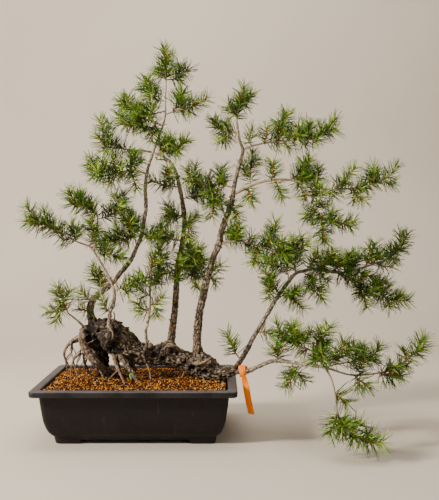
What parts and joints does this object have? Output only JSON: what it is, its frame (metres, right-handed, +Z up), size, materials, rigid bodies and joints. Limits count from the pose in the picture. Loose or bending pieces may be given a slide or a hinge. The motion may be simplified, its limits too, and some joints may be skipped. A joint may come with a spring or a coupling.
{
  "type": "scots pine bonsai",
  "caption": "Raft-grown pine bonsai on bare roots, with tall trunks and needled sprays, in a shallow rectangular plastic training pot of grit.",
  "frame": {"origin": "middle of the whole object's box, on the surface that the pot stands on", "axes": "+X to the right along the pot's long side, the way the low branch reaches; +Y to the back; +Z up"},
  "size_m": [0.8389, 0.4124, 0.8087],
  "materials": {
    "pot_plastic": "black moulded plastic, satin, lightly scuffed and dusty",
    "grit": "dry orange-brown baked clay granules, matt",
    "bark": "rough grey-brown plated pine bark with dark fissures",
    "needles": "green pine needles in pairs on slim orange-brown twigs, waxy",
    "tag_plastic": "bright orange soft plastic strip",
    "weed": "fresh green leaves"
  },
  "bodies": {
    "root": {"pine_wood": "bark", "pot": "pot_plastic", "soil": "grit", "spray_back_front": "needles", "spray_back_left_1": "needles", "spray_back_left_2": "needles", "spray_back_left_3": "needles", "spray_back_left_4": "needles", "spray_back_left_5": "needles", "spray_back_right_2": "needles", "spray_back_right_3": "needles", "spray_back_right_5": "needles", "spray_lean_loop": "needles", "spray_lean_low": "needles", "spray_lean_right": "needles", "spray_lean_shoot": "needles", "spray_lean_stem_top": "needles", "spray_lean_tip": "needles", "spray_left_low": "needles", "spray_low_down_1": "needles", "spray_low_fork": "needles", "spray_low_right_star": "needles", "spray_low_right_tip": "needles", "spray_low_thin_shoot": "needles", "spray_low_up_1": "needles", "spray_low_up_right": "needles", "spray_mid_crown": "needles", "spray_mid_front": "needles", "spray_mid_left_1": "needles", "spray_mid_left_2": "needles", "spray_mid_right_1": "needles", "spray_mid_right_3": "needles", "spray_mid_right_4": "needles", "spray_pendant": "needles", "spray_slant_down": "needles", "spray_slant_left_arc": "needles", "spray_slant_left_low": "needles", "spray_slant_low": "needles", "spray_slant_right_low": "needles", "spray_slant_tip": "needles", "spray_slant_up_0": "needles", "spray_slant_up_1": "needles", "spray_slant_up_2": "needles", "spray_slant_up_3": "needles", "spray_tall_base": "needles", "spray_tall_behind": "needles", "spray_tall_crown": "needles", "spray_tall_left_2": "needles", "spray_tall_left_3": "needles", "spray_tall_left_4": "needles", "spray_tall_left_6": "needles", "spray_tall_left_7": "needles", "spray_tall_left_8": "needles", "spray_tall_right_2": "needles", "spray_tall_right_3": "needles", "spray_thin_right": "needles", "spray_thin_top": "needles", "tag": "tag_plastic", "weed": "weed"}
  },
  "joints": []
}
